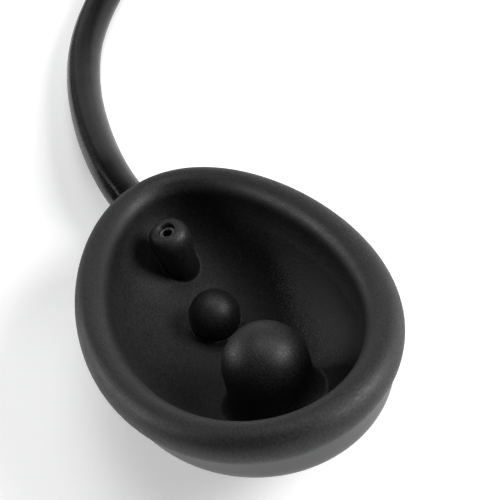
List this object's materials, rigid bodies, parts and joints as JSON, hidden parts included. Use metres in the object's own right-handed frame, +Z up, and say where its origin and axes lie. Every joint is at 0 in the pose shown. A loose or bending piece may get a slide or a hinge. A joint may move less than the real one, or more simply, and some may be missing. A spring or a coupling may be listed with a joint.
{
  "type": "suction cup with hand bulb",
  "caption": "Egg-shaped silicone suction cup with a rolled lip and moulded bosses, on a hose that ends in a squeeze bulb with a push-button release valve.",
  "frame": {"origin": "centre of the flat base that the cup stands on", "axes": "+Z up out of the cup's mouth, +X towards the cup's wide end, the hose leaves towards -X"},
  "size_m": [0.3984, 0.1335, 0.052],
  "materials": {
    "cup_silicone": "satin",
    "hose_rubber": "gloss",
    "bulb_rubber": "satin",
    "fitting_rubber": "matte",
    "polished_chrome": "polished",
    "tube_steel": "polished"
  },
  "bodies": {
    "cup_and_pump": {"cup_shell": "cup_silicone", "large_dome": "cup_silicone", "small_dome": "cup_silicone", "nozzle_sleeve": "cup_silicone", "port_tube": "tube_steel", "port_ferrule": "tube_steel", "hose_boot": "fitting_rubber", "hose": "hose_rubber", "hose_coil": "hose_rubber", "coil_tie": "fitting_rubber", "hose_tail": "hose_rubber", "pump_ferrule": "polished_chrome", "valve_body": "polished_chrome", "button_spring": "tube_steel", "button_guide": "polished_chrome", "intake_cage": "polished_chrome", "squeeze_bulb": "bulb_rubber", "exhaust_housing": "polished_chrome", "exhaust_cap": "polished_chrome"},
    "release_button": {"release_button": "polished_chrome", "stem_seal": "fitting_rubber"},
    "intake_check": {"intake_disc": "fitting_rubber"},
    "exhaust_check": {"exhaust_disc": "fitting_rubber"}
  },
  "joints": [
    {"name": "press_release", "type": "slide", "parent": "cup_and_pump", "child": "release_button", "axis": [0, 0, -1], "range_m": [0, 0.002], "stiffness_N_per_m": 400, "springref_m": -0.001, "deforming": ["button_spring"]},
    {"name": "intake_opens", "type": "slide", "parent": "cup_and_pump", "child": "intake_check", "axis": [0.9903, 0.1392, 0], "range_m": [0, 0.0008]},
    {"name": "exhaust_opens", "type": "slide", "parent": "cup_and_pump", "child": "exhaust_check", "axis": [0.9903, 0.1392, 0], "range_m": [0, 0.0008]}
  ]
}
